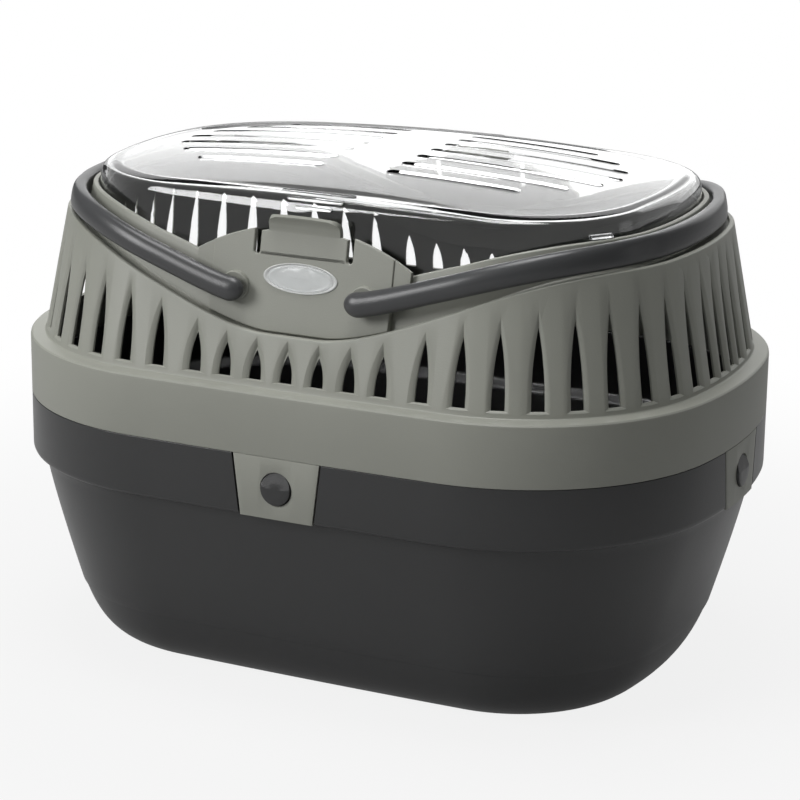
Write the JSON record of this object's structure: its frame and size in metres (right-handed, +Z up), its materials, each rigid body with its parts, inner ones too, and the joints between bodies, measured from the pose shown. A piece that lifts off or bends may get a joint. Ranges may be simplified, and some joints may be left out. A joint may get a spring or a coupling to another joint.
{
  "type": "small animal carrier",
  "caption": "Small-animal carrier: deep base tub, slotted clip-on collar, clear vented lift-off lid and two folding carrying handles.",
  "frame": {"origin": "centre of the flat underside, on the surface it rests on", "axes": "+X along the long side to the right as seen from the front, +Y from front to rear, +Z up; the front is at -Y"},
  "size_m": [0.302, 0.215, 0.2078],
  "materials": {
    "tub_plastic": "satin moulded polypropylene, charcoal",
    "collar_plastic": "satin moulded polypropylene, grey-green",
    "handle_plastic": "satin moulded polypropylene, dark grey",
    "clear_plastic": "clear polished polystyrene"
  },
  "bodies": {
    "carrier": {"base_tub": "tub_plastic", "collar": "collar_plastic", "front_plate": "collar_plastic", "rear_plate": "collar_plastic", "front_badge": "clear_plastic", "rear_badge": "clear_plastic"},
    "lid": {"lid": "clear_plastic"},
    "handle_left": {"handle_left": "handle_plastic"},
    "handle_right": {"handle_right": "handle_plastic"},
    "front_tongue": {"front_tongue": "collar_plastic"},
    "rear_tongue": {"rear_tongue": "collar_plastic"},
    "front_lug": {"front_lug": "collar_plastic"},
    "rear_lug": {"rear_lug": "collar_plastic"},
    "left_lug": {"left_lug": "collar_plastic"},
    "right_lug": {"right_lug": "collar_plastic"}
  },
  "joints": [
    {"name": "lid_lift", "type": "slide", "parent": "carrier", "child": "lid", "axis": [0, 0, 1], "range_m": [0, 0.0332]},
    {"name": "handle_left_swing", "type": "hinge", "parent": "carrier", "child": "handle_left", "pos_m": [-0.0275, 0, 0.1657], "axis": [0, 1, 0], "range_deg": [0, 90]},
    {"name": "handle_right_swing", "type": "hinge", "parent": "carrier", "child": "handle_right", "pos_m": [0.0275, 0, 0.1657], "axis": [0, -1, 0], "range_deg": [0, 90]},
    {"name": "front_tongue_flex", "type": "hinge", "parent": "carrier", "child": "front_tongue", "pos_m": [0, -0.08483, 0.1788], "axis": [1, 0, 0], "range_deg": [0, 6], "stiffness_Nm_per_rad": 0.5},
    {"name": "rear_tongue_flex", "type": "hinge", "parent": "carrier", "child": "rear_tongue", "pos_m": [0, 0.08483, 0.1788], "axis": [-1, 0, 0], "range_deg": [0, 6], "stiffness_Nm_per_rad": 0.5},
    {"name": "front_lug_flex", "type": "hinge", "parent": "carrier", "child": "front_lug", "pos_m": [0, -0.1065, 0.1054], "axis": [-1, 0, 0], "range_deg": [0, 10], "stiffness_Nm_per_rad": 0.5},
    {"name": "rear_lug_flex", "type": "hinge", "parent": "carrier", "child": "rear_lug", "pos_m": [0, 0.1065, 0.1054], "axis": [1, 0, 0], "range_deg": [0, 10], "stiffness_Nm_per_rad": 0.5},
    {"name": "left_lug_flex", "type": "hinge", "parent": "carrier", "child": "left_lug", "pos_m": [-0.15, 0, 0.1054], "axis": [0, 1, 0], "range_deg": [0, 10], "stiffness_Nm_per_rad": 0.5},
    {"name": "right_lug_flex", "type": "hinge", "parent": "carrier", "child": "right_lug", "pos_m": [0.15, 0, 0.1054], "axis": [0, -1, 0], "range_deg": [0, 10], "stiffness_Nm_per_rad": 0.5}
  ]
}
